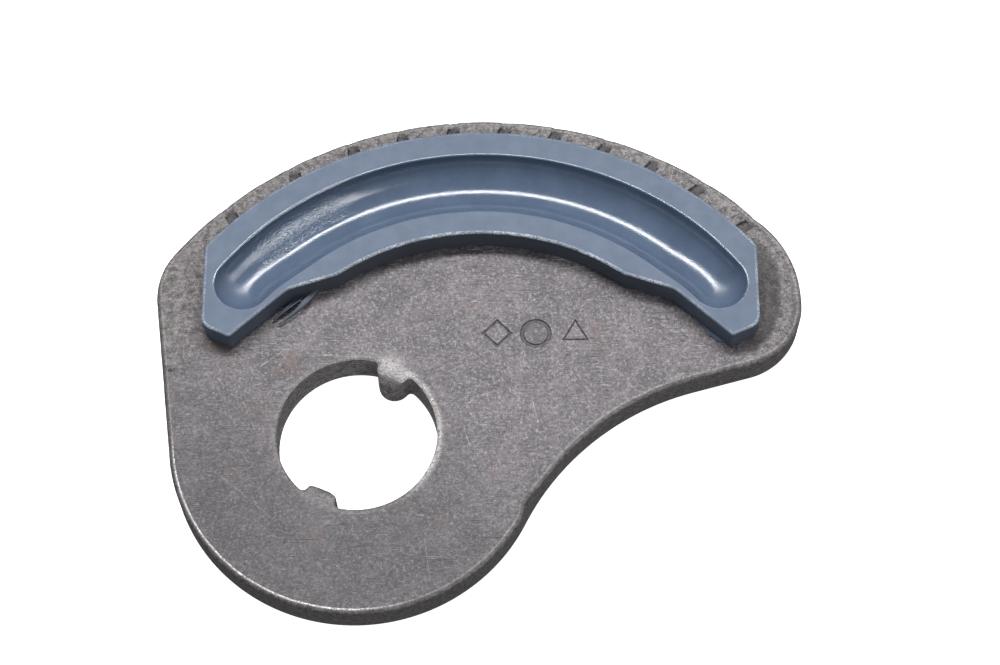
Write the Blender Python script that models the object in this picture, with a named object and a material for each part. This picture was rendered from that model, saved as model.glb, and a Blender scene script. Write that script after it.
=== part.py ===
"""Clamping plate of a coil-spring compressor, with its replaceable plastic coil insert.

Two separate pieces: a forged steel plate, whose keyed bore takes the compressor's
cylinder, and a moulded insert with an arc-shaped trough for one coil of the spring.

Run with: blender --background --python part.py
Units are metres, +Z up. The design frame has its origin on the bore's axis, with +Y
along the insert's axis of symmetry. The finished pieces are moved so that the origin
is at the centre of the plate's box, on its underside.
"""
import math

import bmesh
import bpy
from mathutils import Matrix, Vector

MM = 0.001

# Forged plate
PLATE_THICKNESS = 11.0 * MM
EDGE_ROUNDING = 1.3 * MM
LOBE_RADIUS = 49.2 * MM
FLANK_LEAN = math.radians(7.3)
CORNER_RADIUS = 20.0 * MM
RIM_CENTRE = Vector((32.8, -13.2)) * MM
RIM_RADIUS = 106.2 * MM
SHOULDER_RADIUS = 32.0 * MM
TIP_CENTRE = Vector((99.05, 37.85)) * MM
TIP_RADIUS = 19.0 * MM
HEEL_SLOPE = math.radians(15.5)
NECK_RADIUS = 71.2 * MM

# Keyed bore for the compressor's cylinder
BORE_RADIUS = 21.0 * MM
BORE_EDGE = 0.5 * MM
LUG_ANGLES = [math.radians(62.5), math.radians(242.5)]
LUG_DISTANCE = 19.9 * MM
LUG_RADIUS = 4.2 * MM
LUG_FILLET = 1.4 * MM
LUG_NOSE = LUG_DISTANCE - LUG_RADIUS
LEAD_IN_DEPTH = 5.4 * MM
LEAD_IN_WIDTH = 2.6 * MM
CREASE_DEPTH = 0.6 * MM
CREASE_HEIGHT = 0.6 * MM

# Coil insert and the trough in it
ARC_CENTRE = Vector((32.3, -11.05)) * MM
INSERT_HEIGHT = 8.0 * MM
INSERT_OUTER_RADIUS = 95.9 * MM
INSERT_INNER_RADIUS = 65.2 * MM
INSERT_HALF_WIDTH = 73.5 * MM
INNER_ARC_HALF_ANGLE = math.radians(35.5)
STEP_POINT = Vector((51.0, 48.8)) * MM
TOE_POINT = Vector((66.0, 35.2)) * MM
TOE_SLOPE = math.radians(25.0)
CORNER_FILLETS = {"arc": 1.5 * MM, "side": 4.0 * MM, "toe": 1.0 * MM, "step": 6.0 * MM}
COIL_RADIUS = 80.45 * MM
TROUGH_RADIUS = 8.5 * MM
TROUGH_DEPTH = 7.0 * MM
TROUGH_HALF_ANGLE = math.radians(51.0)
# Towards its ends the trough narrows and moves outwards a little, which leaves a lip at the flanks
TAPER_START = math.radians(43.0)
TAPER = 0.8 * MM
TAPER_SHIFT = 0.4 * MM
TROUGH_STATIONS = 36
TROUGH_CAP_STATIONS = 10
TROUGH_SEGMENTS = 48

# Seat groove in the plate and the keel that fits it
KEEL_WIDTH = 13.0 * MM
KEEL_DEPTH = 2.7 * MM
KEEL_HALF_ANGLE = math.radians(44.0)
CLEARANCE = 0.3 * MM

# Anti-slip slots, cut towards the bore, from just inside the rim into the seat groove
SLOT_WIDTH = 3.4 * MM
SLOT_DEPTH = 1.1 * MM
SLOT_LENGTH = 18.0 * MM
SLOT_RIM_MARGIN = 1.2 * MM
SLOT_PITCH = 8
SLOT_COUNT = 8
SLOT_ANGLES = [44.5] + [54 + SLOT_PITCH * k for k in range(SLOT_COUNT)] + [120, 132]

# Generic stamped marks
MARK_DEPTH = 0.4 * MM
MARK_STROKE = 1.1 * MM
MARK_SIZE = 4.2 * MM
MARK_ROW_Y = 28.5 * MM
MARK_ROW_X = [36.6 * MM, 46.9 * MM, 57.4 * MM]
MARK_SIDES = [4, 24, 3]

CHORD = 2.0 * MM
FINE_CHORD = 0.7 * MM
TRIM = 1.0 * MM


# ---------------------------------------------------------------- plane geometry

def direction(angle):
    """Unit vector at an angle from +X."""
    return Vector((math.cos(angle), math.sin(angle)))


def heading(start, end):
    """Angle of the line from one point to another."""
    step = end - start
    return math.atan2(step.y, step.x)


def arc(centre, radius, start, end, chord):
    """Points along an arc from start to end, both included, spaced by about one chord."""
    steps = max(2, math.ceil(abs(end - start) * radius / chord))
    return [centre + radius * direction(start + (end - start) * k / steps) for k in range(steps + 1)]


def circles_meet(centre_a, radius_a, centre_b, radius_b, side):
    """The point at radius_a from a and radius_b from b, left (+1) or right (-1) of a to b."""
    gap = (centre_b - centre_a).length
    along = (radius_a ** 2 - radius_b ** 2 + gap ** 2) / (2 * gap)
    across = math.sqrt(radius_a ** 2 - along ** 2)
    forward = (centre_b - centre_a) / gap
    return centre_a + along * forward + side * across * Vector((-forward.y, forward.x))


def line_meets_circle(normal, offset, centre, radius, side):
    """The point on the line normal . p = offset that lies at radius from centre."""
    foot = centre + (offset - normal.dot(centre)) * normal
    reach = math.sqrt(radius ** 2 - (foot - centre).length_squared)
    return foot + side * reach * Vector((-normal.y, normal.x))


def rounded_corner(before, corner, after, radius, chord):
    """Arc of the given radius that rounds a corner between two straight edges."""
    inward = (before - corner).normalized()
    outward = (after - corner).normalized()
    half = inward.angle(outward) / 2
    centre = corner + (inward + outward).normalized() * radius / math.sin(half)
    reach = radius / math.tan(half)
    start = heading(centre, corner + inward * reach)
    end = heading(centre, corner + outward * reach)
    sweep = (end - start + math.pi) % (2 * math.pi) - math.pi
    return arc(centre, radius, start, start + sweep, chord)


def without_repeats(points):
    """Drops points that lie on the one before."""
    kept = [points[0]]
    for point in points[1:]:
        if (point - kept[-1]).length > CLEARANCE / 10:
            kept.append(point)
    if (kept[0] - kept[-1]).length <= CLEARANCE / 10:
        kept.pop()
    return kept


def plate_outline():
    """Outline of the plate: lobe, hollow neck, straight heel, tip, shoulder, rim and corner."""
    bore = Vector((0.0, 0.0))
    flank_angle = math.pi + FLANK_LEAN
    heel_angle = HEEL_SLOPE - math.pi / 2

    heel_normal = direction(heel_angle)
    heel_offset = heel_normal.dot(TIP_CENTRE) + TIP_RADIUS
    neck = line_meets_circle(heel_normal, heel_offset + NECK_RADIUS, bore, LOBE_RADIUS + NECK_RADIUS, 1)
    shoulder = circles_meet(
        RIM_CENTRE, RIM_RADIUS - SHOULDER_RADIUS, TIP_CENTRE, SHOULDER_RADIUS - TIP_RADIUS, 1)
    corner = line_meets_circle(
        direction(flank_angle), LOBE_RADIUS - CORNER_RADIUS, RIM_CENTRE, RIM_RADIUS - CORNER_RADIUS, -1)

    neck_angle = heading(bore, neck)
    tip_end = heading(shoulder, TIP_CENTRE)
    rim_start = heading(RIM_CENTRE, shoulder)
    rim_end = heading(RIM_CENTRE, corner)
    points = arc(bore, LOBE_RADIUS, flank_angle, neck_angle + 2 * math.pi, CHORD)
    points += arc(neck, NECK_RADIUS, neck_angle + math.pi, heel_angle + math.pi, CHORD)
    points += arc(TIP_CENTRE, TIP_RADIUS, heel_angle, tip_end, CHORD)
    points += arc(shoulder, SHOULDER_RADIUS, tip_end, rim_start, CHORD)
    points += arc(RIM_CENTRE, RIM_RADIUS, rim_start, rim_end, CHORD)
    points += arc(corner, CORNER_RADIUS, rim_end, flank_angle, CHORD)
    return without_repeats(points)


def bore_outline():
    """Outline of the bore's void: a circle with two opposite rounded lugs standing into it."""
    bore = Vector((0.0, 0.0))
    points = []
    for angle in LUG_ANGLES:
        axis = direction(angle)
        lug = LUG_DISTANCE * axis
        fillet = circles_meet(bore, BORE_RADIUS - LUG_FILLET, lug, LUG_RADIUS + LUG_FILLET, -1)
        start = heading(bore, fillet)
        reach = (angle - start) % (2 * math.pi)
        fillet_turn = (heading(fillet, lug) - start) % (2 * math.pi)
        lug_start = heading(lug, fillet)
        lug_turn = (lug_start - angle - math.pi) % (2 * math.pi)
        half = arc(fillet, LUG_FILLET, start, start + fillet_turn, FINE_CHORD)
        half += arc(lug, LUG_RADIUS, lug_start, lug_start - lug_turn, FINE_CHORD)
        points += half
        points += [2 * point.dot(axis) * axis - point for point in reversed(half)]
        points += arc(bore, BORE_RADIUS, angle + reach, angle + math.pi - reach, CHORD)
    return without_repeats(points)


def insert_outline():
    """Outline of the insert about its arc centre, mirrored across its axis of symmetry."""
    middle = math.pi / 2
    arc_corner = Vector((
        INSERT_HALF_WIDTH, math.sqrt(INSERT_OUTER_RADIUS ** 2 - INSERT_HALF_WIDTH ** 2)))
    arc_angle = math.asin(arc_corner.y / INSERT_OUTER_RADIUS)
    fillet_angle = CORNER_FILLETS["arc"] / INSERT_OUTER_RADIUS
    before_arc = INSERT_OUTER_RADIUS * direction(arc_angle + fillet_angle)
    side_foot = TOE_POINT + direction(TOE_SLOPE) * (
        (INSERT_HALF_WIDTH - TOE_POINT.x) / math.cos(TOE_SLOPE))
    inner_end = INSERT_INNER_RADIUS * direction(middle - INNER_ARC_HALF_ANGLE)

    half = arc(Vector((0.0, 0.0)), INSERT_INNER_RADIUS, middle, middle - INNER_ARC_HALF_ANGLE, CHORD)
    half += rounded_corner(inner_end, STEP_POINT, TOE_POINT, CORNER_FILLETS["step"], FINE_CHORD)
    half += rounded_corner(STEP_POINT, TOE_POINT, side_foot, CORNER_FILLETS["toe"], FINE_CHORD)
    half += rounded_corner(TOE_POINT, side_foot, arc_corner, CORNER_FILLETS["side"], FINE_CHORD)
    half += rounded_corner(side_foot, arc_corner, before_arc, CORNER_FILLETS["arc"], FINE_CHORD)
    half += arc(Vector((0.0, 0.0)), INSERT_OUTER_RADIUS, arc_angle + 2 * fillet_angle, middle, CHORD)
    mirrored = [Vector((-point.x, point.y)) for point in reversed(half)]
    return [ARC_CENTRE + point for point in without_repeats(half + mirrored)]


def arc_slot_outline(half_width, half_angle):
    """Outline of a round-ended slot along the coil's arc."""
    start = math.pi / 2 - half_angle
    end = math.pi / 2 + half_angle
    near_end = ARC_CENTRE + COIL_RADIUS * direction(start)
    far_end = ARC_CENTRE + COIL_RADIUS * direction(end)
    points = arc(near_end, half_width, start - math.pi, start, FINE_CHORD)
    points += arc(ARC_CENTRE, COIL_RADIUS + half_width, start, end, CHORD)
    points += arc(far_end, half_width, end, end + math.pi, FINE_CHORD)
    points += arc(ARC_CENTRE, COIL_RADIUS - half_width, end, start, CHORD)
    return without_repeats(points)


# ---------------------------------------------------------------- Blender helpers

def clear_scene():
    """Removes every object, so that the model starts from nothing."""
    for thing in list(bpy.data.objects):
        bpy.data.objects.remove(thing, do_unlink=True)


def new_collection(name):
    """A collection in the scene, for the pieces or for the cutters."""
    collection = bpy.data.collections.new(name)
    bpy.context.scene.collection.children.link(collection)
    return collection


def new_object(name, mesh, collection):
    """An object in a collection."""
    thing = bpy.data.objects.new(name, mesh)
    collection.objects.link(thing)
    return thing


def evaluated_mesh(thing):
    """The object's mesh with its modifiers, or a curve's surface, in its own frame."""
    bpy.context.view_layer.update()
    graph = bpy.context.evaluated_depsgraph_get()
    return bpy.data.meshes.new_from_object(thing.evaluated_get(graph), depsgraph=graph)


def prism(name, outline, bottom, top, collection):
    """A closed upright prism on a flat outline, filled as a 2D curve and made a mesh."""
    curve = bpy.data.curves.new(name + "_outline", "CURVE")
    curve.dimensions = "2D"
    curve.fill_mode = "BOTH"
    curve.extrude = (top - bottom) / 2
    spline = curve.splines.new("POLY")
    spline.points.add(len(outline) - 1)
    for point, place in zip(spline.points, outline):
        point.co = (place.x, place.y, 0.0, 1.0)
    spline.use_cyclic_u = True
    guide = new_object(name + "_outline", curve, collection)
    guide.location.z = (top + bottom) / 2
    mesh = evaluated_mesh(guide)
    mesh.transform(guide.matrix_world)
    bpy.data.objects.remove(guide, do_unlink=True)
    weld(mesh)
    mesh.name = name
    return new_object(name, mesh, collection)


def weld(mesh):
    """Joins the loose caps of a filled curve, each into one flat face, and turns every face outwards."""
    shape = bmesh.new()
    shape.from_mesh(mesh)
    bmesh.ops.remove_doubles(shape, verts=shape.verts, dist=CLEARANCE / 30)
    bmesh.ops.recalc_face_normals(shape, faces=shape.faces)
    caps = [edge for edge in shape.edges if edge.calc_face_angle(math.pi) < math.radians(0.1)]
    bmesh.ops.dissolve_edges(shape, edges=caps, use_verts=False)
    shape.to_mesh(mesh)
    shape.free()


def cone(name, bottom_radius, top_radius, bottom, top, segments, collection):
    """An upright cone or cylinder on the bore's axis."""
    shape = bmesh.new()
    bmesh.ops.create_cone(
        shape, cap_ends=True, segments=segments, radius1=bottom_radius, radius2=top_radius,
        depth=top - bottom, matrix=Matrix.Translation((0.0, 0.0, (top + bottom) / 2)))
    mesh = bpy.data.meshes.new(name)
    shape.to_mesh(mesh)
    shape.free()
    return new_object(name, mesh, collection)


def box(name, centre, size, turn, collection):
    """A box of the given size, turned about Z and moved to its centre."""
    shape = bmesh.new()
    place = Matrix.Translation(centre) @ Matrix.Rotation(turn, 4, "Z") @ Matrix.Diagonal((*size, 1.0))
    bmesh.ops.create_cube(shape, size=1.0, matrix=place)
    mesh = bpy.data.meshes.new(name)
    shape.to_mesh(mesh)
    shape.free()
    return new_object(name, mesh, collection)


def hide_cutter(cutter):
    """Marks an object as a cutter."""
    cutter.hide_render = True
    cutter.display_type = "WIRE"


def combine(thing, other, operation):
    """Adds an exact Boolean of another object to a piece."""
    hide_cutter(other)
    boolean = thing.modifiers.new(other.name, "BOOLEAN")
    boolean.operation = operation
    boolean.solver = "EXACT"
    boolean.object = other


def bake_modifiers(thing):
    """Replaces the object's mesh by its evaluated one and removes its modifiers."""
    mesh = evaluated_mesh(thing)
    thing.modifiers.clear()
    thing.data = mesh


def bevel_edges(thing, width, segments, wanted):
    """Rounds the edges whose two ends both pass the test."""
    shape = bmesh.new()
    shape.from_mesh(thing.data)
    sharp = math.radians(40)
    edges = [
        edge for edge in shape.edges
        if edge.calc_face_angle(0.0) > sharp and all(wanted(vert.co) for vert in edge.verts)
    ]
    bmesh.ops.bevel(
        shape, geom=edges, offset=width, segments=segments, profile=0.5, affect="EDGES",
        clamp_overlap=False)
    shape.to_mesh(thing.data)
    shape.free()


def shade(thing, material):
    """Smooth shading with crisp corners, and the piece's own material."""
    thing.data.shade_smooth()
    thing.data.set_sharp_from_angle(angle=math.radians(35))
    thing.data.materials.clear()
    thing.data.materials.append(material)


def new_material(name, colour, roughness, metallic):
    """A Principled material."""
    material = bpy.data.materials.new(name)
    material.use_nodes = True
    shader = material.node_tree.nodes["Principled BSDF"]
    shader.inputs["Base Color"].default_value = (*colour, 1.0)
    shader.inputs["Roughness"].default_value = roughness
    shader.inputs["Metallic"].default_value = metallic
    return material


# ---------------------------------------------------------------- the pieces

def slot_cutter(index, angle, collection):
    """One anti-slip slot: a shallow channel that points at the bore."""
    outward = direction(angle)
    reach = ARC_CENTRE - RIM_CENTRE
    along = reach.dot(outward)
    rim_distance = -along + math.sqrt(
        along ** 2 - reach.length_squared + (RIM_RADIUS - SLOT_RIM_MARGIN) ** 2)
    outer_end = ARC_CENTRE + rim_distance * outward
    towards_bore = -outer_end.normalized()
    middle = outer_end + towards_bore * SLOT_LENGTH / 2
    size = (SLOT_LENGTH, SLOT_WIDTH, SLOT_DEPTH + TRIM)
    centre = Vector((middle.x, middle.y, PLATE_THICKNESS + (TRIM - SLOT_DEPTH) / 2))
    return box(f"slot_cutter_{index:02d}", centre, size, heading(outer_end, Vector((0, 0))), collection)


def mark_cutter(index, sides, x, collection):
    """One stamped mark: the outline of a regular polygon, as a ring-shaped cutter."""
    centre = Vector((x, MARK_ROW_Y))
    turn = math.pi / 2
    rings = []
    for radius, name in ((MARK_SIZE, "outer"), (MARK_SIZE - MARK_STROKE, "inner")):
        outline = [centre + radius * direction(turn + 2 * math.pi * k / sides) for k in range(sides)]
        low = PLATE_THICKNESS - MARK_DEPTH
        rings.append(prism(
            f"mark_{index}_{name}", outline, low, PLATE_THICKNESS + TRIM, collection))
    combine(rings[0], rings[1], "DIFFERENCE")
    bake_modifiers(rings[0])
    return rings[0]


def build_plate(pieces, cutters):
    """The forged plate with its bore, lugs, seat groove, slots and stamped marks."""
    plate = prism("spring_plate", plate_outline(), 0.0, PLATE_THICKNESS, pieces)
    bevel_edges(plate, EDGE_ROUNDING, 3, lambda place: True)

    void = prism("bore_cutter", bore_outline(), -TRIM, PLATE_THICKNESS + TRIM, cutters)
    combine(plate, void, "DIFFERENCE")
    bake_modifiers(plate)
    bevel_edges(plate, BORE_EDGE, 2, lambda place: place.xy.length < BORE_RADIUS + TRIM)

    lead_in_slope = LEAD_IN_WIDTH / LEAD_IN_DEPTH
    lead_in = cone(
        "lead_in_cutter", LUG_NOSE - TRIM * lead_in_slope, LUG_NOSE + LEAD_IN_WIDTH + TRIM * lead_in_slope,
        PLATE_THICKNESS - LEAD_IN_DEPTH - TRIM, PLATE_THICKNESS + TRIM, 96, cutters)
    crease_top = PLATE_THICKNESS - LEAD_IN_DEPTH
    crease = cone(
        "crease_cutter", LUG_NOSE + CREASE_DEPTH, LUG_NOSE + CREASE_DEPTH,
        crease_top - CREASE_HEIGHT, crease_top, 96, cutters)
    seat = prism(
        "seat_cutter", arc_slot_outline(KEEL_WIDTH / 2 + CLEARANCE, KEEL_HALF_ANGLE),
        PLATE_THICKNESS - KEEL_DEPTH, PLATE_THICKNESS + TRIM, cutters)
    for cutter in (lead_in, crease, seat):
        combine(plate, cutter, "DIFFERENCE")
    for index, degrees in enumerate(SLOT_ANGLES):
        combine(plate, slot_cutter(index, math.radians(degrees), cutters), "DIFFERENCE")
    for index, (sides, x) in enumerate(zip(MARK_SIDES, MARK_ROW_X)):
        combine(plate, mark_cutter(index, sides, x, cutters), "DIFFERENCE")
    bake_modifiers(plate)
    return plate


def trough_section(from_middle):
    """Radius and distance from the arc's centre of the trough at an angle from its middle."""
    share = (abs(from_middle) - TAPER_START) / (TROUGH_HALF_ANGLE - TAPER_START)
    share = min(max(share, 0.0), 1.0)
    share = share * share * (3 - 2 * share)
    return TROUGH_RADIUS - TAPER * share, COIL_RADIUS + TAPER_SHIFT * share


def trough_cutter(collection):
    """A round bar bent along the coil's arc, with round ends, that cuts the trough."""
    stations = []
    for number in range(TROUGH_STATIONS + 1):
        angle = TROUGH_HALF_ANGLE * (2 * number / TROUGH_STATIONS - 1)
        stations.append((angle, *trough_section(angle)))
    end_radius, end_distance = trough_section(TROUGH_HALF_ANGLE)
    for number in range(1, TROUGH_CAP_STATIONS):
        turn = math.pi / 2 * number / TROUGH_CAP_STATIONS
        past = TROUGH_HALF_ANGLE + end_radius * math.sin(turn) / end_distance
        radius = end_radius * math.cos(turn)
        stations.append((past, radius, end_distance))
        stations.insert(0, (-past, radius, end_distance))

    height = PLATE_THICKNESS + INSERT_HEIGHT - TROUGH_DEPTH + TROUGH_RADIUS
    shape = bmesh.new()
    rings = []
    for angle, radius, distance in stations:
        outward = direction(math.pi / 2 + angle)
        ring = []
        for segment in range(TROUGH_SEGMENTS):
            turn = 2 * math.pi * segment / TROUGH_SEGMENTS
            point = ARC_CENTRE + (distance + radius * math.cos(turn)) * outward
            ring.append(shape.verts.new((point.x, point.y, height + radius * math.sin(turn))))
        rings.append(ring)
    for ring, following in zip(rings, rings[1:]):
        for segment in range(TROUGH_SEGMENTS):
            after = (segment + 1) % TROUGH_SEGMENTS
            shape.faces.new((ring[segment], ring[after], following[after], following[segment]))
    for ring, side in ((rings[0], -1), (rings[-1], 1)):
        tip_angle = math.pi / 2 + side * (TROUGH_HALF_ANGLE + end_radius / end_distance)
        tip = ARC_CENTRE + end_distance * direction(tip_angle)
        point = shape.verts.new((tip.x, tip.y, height))
        for segment in range(TROUGH_SEGMENTS):
            shape.faces.new((ring[segment], ring[(segment + 1) % TROUGH_SEGMENTS], point))
    bmesh.ops.recalc_face_normals(shape, faces=shape.faces)
    mesh = bpy.data.meshes.new("trough")
    shape.to_mesh(mesh)
    shape.free()
    return new_object("trough", mesh, collection)


def build_insert(pieces, cutters):
    """The moulded insert: a flat arc-shaped block with the coil's trough and a keel below."""
    underside = PLATE_THICKNESS + CLEARANCE
    top = PLATE_THICKNESS + INSERT_HEIGHT
    insert = prism("coil_insert", insert_outline(), underside, top, pieces)
    combine(insert, trough_cutter(cutters), "DIFFERENCE")
    keel_bottom = PLATE_THICKNESS - KEEL_DEPTH + CLEARANCE
    keel = prism(
        "keel", arc_slot_outline(KEEL_WIDTH / 2, KEEL_HALF_ANGLE), keel_bottom, underside + TRIM / 2, cutters)
    combine(insert, keel, "UNION")
    bake_modifiers(insert)
    return insert


def main():
    clear_scene()
    pieces = new_collection("spring_compressor_plate")
    cutters = new_collection("cutters")
    plate = build_plate(pieces, cutters)
    insert = build_insert(pieces, cutters)
    shade(plate, new_material("forged_steel", (0.16, 0.15, 0.15), 0.45, 0.85))
    shade(insert, new_material("insert_plastic", (0.12, 0.17, 0.24), 0.38, 0.0))

    corners = [vert.co for vert in plate.data.vertices]
    middle_x = (min(c.x for c in corners) + max(c.x for c in corners)) / 2
    middle_y = (min(c.y for c in corners) + max(c.y for c in corners)) / 2
    for thing in (plate, insert):
        thing.data.transform(Matrix.Translation((-middle_x, -middle_y, 0.0)))


main()
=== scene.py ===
"""Looks of a spring compressor's clamping plate and its coil insert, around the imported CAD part.

The plan geometry is worked out in millimetres in the design frame: its origin is on the
bore's axis, and +Y runs along the insert's axis of symmetry. Shell.build() moves it from
there into the CAD's frame, in metres. Single scratches and the torn plastic are placed in
the CAD's frame, in millimetres.
"""

import math

import bmesh
import bpy
import numpy as np
from mathutils import Matrix, Vector, kdtree, noise
from mathutils.geometry import delaunay_2d_cdt


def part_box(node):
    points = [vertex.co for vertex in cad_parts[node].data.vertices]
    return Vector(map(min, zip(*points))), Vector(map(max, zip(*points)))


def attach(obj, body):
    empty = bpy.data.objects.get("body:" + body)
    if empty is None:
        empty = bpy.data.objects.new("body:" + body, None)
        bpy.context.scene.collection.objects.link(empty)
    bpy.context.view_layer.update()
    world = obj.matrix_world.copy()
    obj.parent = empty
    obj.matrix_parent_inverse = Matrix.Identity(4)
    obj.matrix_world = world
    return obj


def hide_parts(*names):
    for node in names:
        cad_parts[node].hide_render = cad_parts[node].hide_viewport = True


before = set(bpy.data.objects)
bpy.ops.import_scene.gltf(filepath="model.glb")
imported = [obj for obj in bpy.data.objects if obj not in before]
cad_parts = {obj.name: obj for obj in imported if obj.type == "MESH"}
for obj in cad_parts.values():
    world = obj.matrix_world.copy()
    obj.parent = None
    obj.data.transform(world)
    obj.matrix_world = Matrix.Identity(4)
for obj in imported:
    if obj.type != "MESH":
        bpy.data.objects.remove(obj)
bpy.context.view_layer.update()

MM = 0.001
PLATE_LOW, PLATE_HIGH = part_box("spring_plate")
_, INSERT_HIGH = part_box("coil_insert")
PLATE_TOP = PLATE_HIGH.z / MM
INSERT_TOP = INSERT_HIGH.z / MM
SEAT_GAP = 0.3
INSERT_UNDERSIDE = PLATE_TOP + SEAT_GAP

# Plate, as in the CAD
LOBE_RADIUS = 49.2
FLANK_LEAN = math.radians(7.3)
CORNER_RADIUS = 20.0
RIM_CENTRE = np.array([32.8, -13.2])
RIM_RADIUS = 106.2
SHOULDER_RADIUS = 32.0
TIP_CENTRE = np.array([99.05, 37.85])
TIP_RADIUS = 19.0
HEEL_SLOPE = math.radians(15.5)
NECK_RADIUS = 71.2
EDGE_ROUNDING = 1.3
EDGE_STRIP = 0.25
FOOT_INSET = 0.1
RIM_WAVE = 0.08
WALL_HOLLOW = 0.11

# Keyed bore
BORE = np.array([0.0, 0.0])
BORE_RADIUS = 21.0
BORE_EDGE = 0.3
LUG_ANGLES = [math.radians(62.5), math.radians(242.5)]
LUG_DISTANCE = 19.9
LUG_RADIUS = 4.2
LUG_FILLET = 1.4
LUG_NOSE = LUG_DISTANCE - LUG_RADIUS
LEAD_IN_DEPTH = 5.4
LEAD_IN_WIDTH = 2.6
CREASE_DEPTH = 0.6
CREASE_HEIGHT = 0.6
LUG_SOFTNESS = 0.6
LUG_FACET = np.array([8.2, 18.6])
LUG_WEAR_REACH = 3.6
BORE_LIP = 0.15
BORE_HEIGHTS = [9.4, 8.4, 7.4, 6.4, 5.75, 5.6, 5.5, 5.2, 5.0001, 4.9, 4.7, 3.8, 2.6, 1.5]

# Insert
ARC_CENTRE = np.array([32.3, -11.05])
INSERT_OUTER_RADIUS = 95.9
INSERT_INNER_RADIUS = 65.2
INSERT_HALF_WIDTH = 73.5
INNER_ARC_HALF_ANGLE = math.radians(35.5)
STEP_POINT = np.array([51.0, 48.8])
TOE_POINT = np.array([66.0, 35.2])
TOE_SLOPE = math.radians(25.0)
CORNER_FILLETS = {"arc": 1.5, "side": 4.0, "toe": 1.0, "step": 6.0}
INSERT_EDGE = 0.6
INSERT_FOOT = 0.25
FOOT_MIDDLE = 0.07
FLAT_STRIP = 0.15
COIL_RADIUS = 80.45
TROUGH_RADIUS = 8.5
TROUGH_DEPTH = 7.0
TROUGH_HALF_ANGLE = math.radians(51.0)
TAPER_START = math.radians(39.0)
TAPER = 0.8
TAPER_SHIFT = 0.4
TROUGH_CENTRE_Z = INSERT_TOP - TROUGH_DEPTH + TROUGH_RADIUS
TROUGH_RISE = TROUGH_CENTRE_Z - INSERT_TOP
RIM_DROP = 0.34
KEEL_WIDTH = 13.0
KEEL_DEPTH = 2.7
KEEL_HALF_ANGLE = math.radians(44.0)
KEEL_LOW = PLATE_TOP - KEEL_DEPTH + SEAT_GAP
KEEL_BEVEL = 0.3

# Rim of the trough from the flat top inwards: distance outside the tube, drop, and polish
RIM_PROFILE = [
    (0.42 + FLAT_STRIP, 0.0, 0.0), (0.42, 0.0, 0.9), (0.29, 0.013, 1.0), (0.17, 0.045, 1.0),
    (0.06, 0.11, 1.0), (-0.015, 0.20, 1.0)]

# Orange peel in the trough: bearings in degrees where it comes in and goes out
PEEL_START = (112.0, 119.0)
PEEL_END = (139.0, 131.0)

# Slots and marks in the plate's top
SLOT_WIDTH = 3.4
SLOT_DEPTH = 1.1
SLOT_LENGTH = 18.0
SLOT_RIM_MARGIN = 1.2
SLOT_RAMP = 3.0
SLOT_LINE_MARGIN = 1.6
SLOT_ANGLES = [44.5] + [54 + 8 * k for k in range(8)] + [120, 132]
SLOT_WALL = 0.3
MARK_DEPTH = 0.4
MARK_STROKE = 1.1
MARK_SIZE = 4.2
MARK_ROW_Y = 28.5
MARK_ROW_X = [36.6, 46.9, 57.4]
MARK_SIDES = [4, 24, 3]
MARK_WALL = 0.2

# Flaws in the plate's edge: start, end, half width and depth of each nick, and a dent in the neck
NICKS = [((-55.5, 19.3), (-46.6, 17.7), 0.45, 0.55), ((-55.2, 15.6), (-52.0, 15.1), 0.30, 0.25)]
DENT_CENTRE = np.array([45.1, -18.9])
DENT_REACH = 3.4
DENT_DEPTH = 1.1

# Ridge round the tip: distance from the tip's centre at bearings in degrees, and heights
TIP_RIDGE_BEARINGS = [-76.0, -53.0, -23.0, 12.0, 69.5]
TIP_RIDGE_RADII = [17.0, 15.8, 14.6, 14.8, 21.0]
RIDGE_HEIGHT = 0.35
CHANNEL_DEPTH = 0.70
RIDGE_FALL = 0.60
TIP_DROP = 0.30

# Mesh spacing
FINE = 0.35
EDGE = 0.45
MEDIUM = 0.8
CLEARANCE = 0.55
WELD = 0.002

# Camera in the CAD's frame. The angles, in degrees, are down, to the left and about its own axis
CAMERA_PLACE = (10.39, -264.37, 616.49)
CAMERA_ANGLES = (65.87, 1.0, -1.06)
CAMERA_LENS = 90.0
SENSOR_WIDTH = 36.0
FLOOR_REACH = 3.0
FLOOR_GAP = 0.02


# ------------ plane geometry

def direction(angle):
    """Unit vector at an angle from +X."""
    return np.array([math.cos(angle), math.sin(angle)])


def directions(angles):
    """Unit vectors at angles from +X, one per row."""
    return np.column_stack((np.cos(angles), np.sin(angles)))


def lengths(vectors):
    """Length of each row."""
    return np.linalg.norm(vectors, axis=1)


def heading(start, end):
    """Angle of the line from one point to another."""
    return math.atan2(end[1] - start[1], end[0] - start[0])


def arc(centre, radius, start, end, chord):
    """Points along an arc from start to end, both included, spaced by about one chord."""
    steps = max(2, math.ceil(abs(end - start) * radius / chord))
    angles = np.linspace(start, end, steps + 1)
    return np.asarray(centre) + radius * directions(angles)


def circles_meet(centre_a, radius_a, centre_b, radius_b, side):
    """The point at radius_a from a and radius_b from b, left (+1) or right (-1) of a to b."""
    gap = np.linalg.norm(centre_b - centre_a)
    along = (radius_a ** 2 - radius_b ** 2 + gap ** 2) / (2 * gap)
    across = math.sqrt(radius_a ** 2 - along ** 2)
    forward = (centre_b - centre_a) / gap
    return centre_a + along * forward + side * across * np.array([-forward[1], forward[0]])


def line_meets_circle(normal, offset, centre, radius, side):
    """The point on the line normal . p = offset that lies at radius from centre."""
    foot = centre + (offset - normal @ centre) * normal
    reach = math.sqrt(radius ** 2 - (foot - centre) @ (foot - centre))
    return foot + side * reach * np.array([-normal[1], normal[0]])


def unit(vector):
    return vector / np.linalg.norm(vector)


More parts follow.
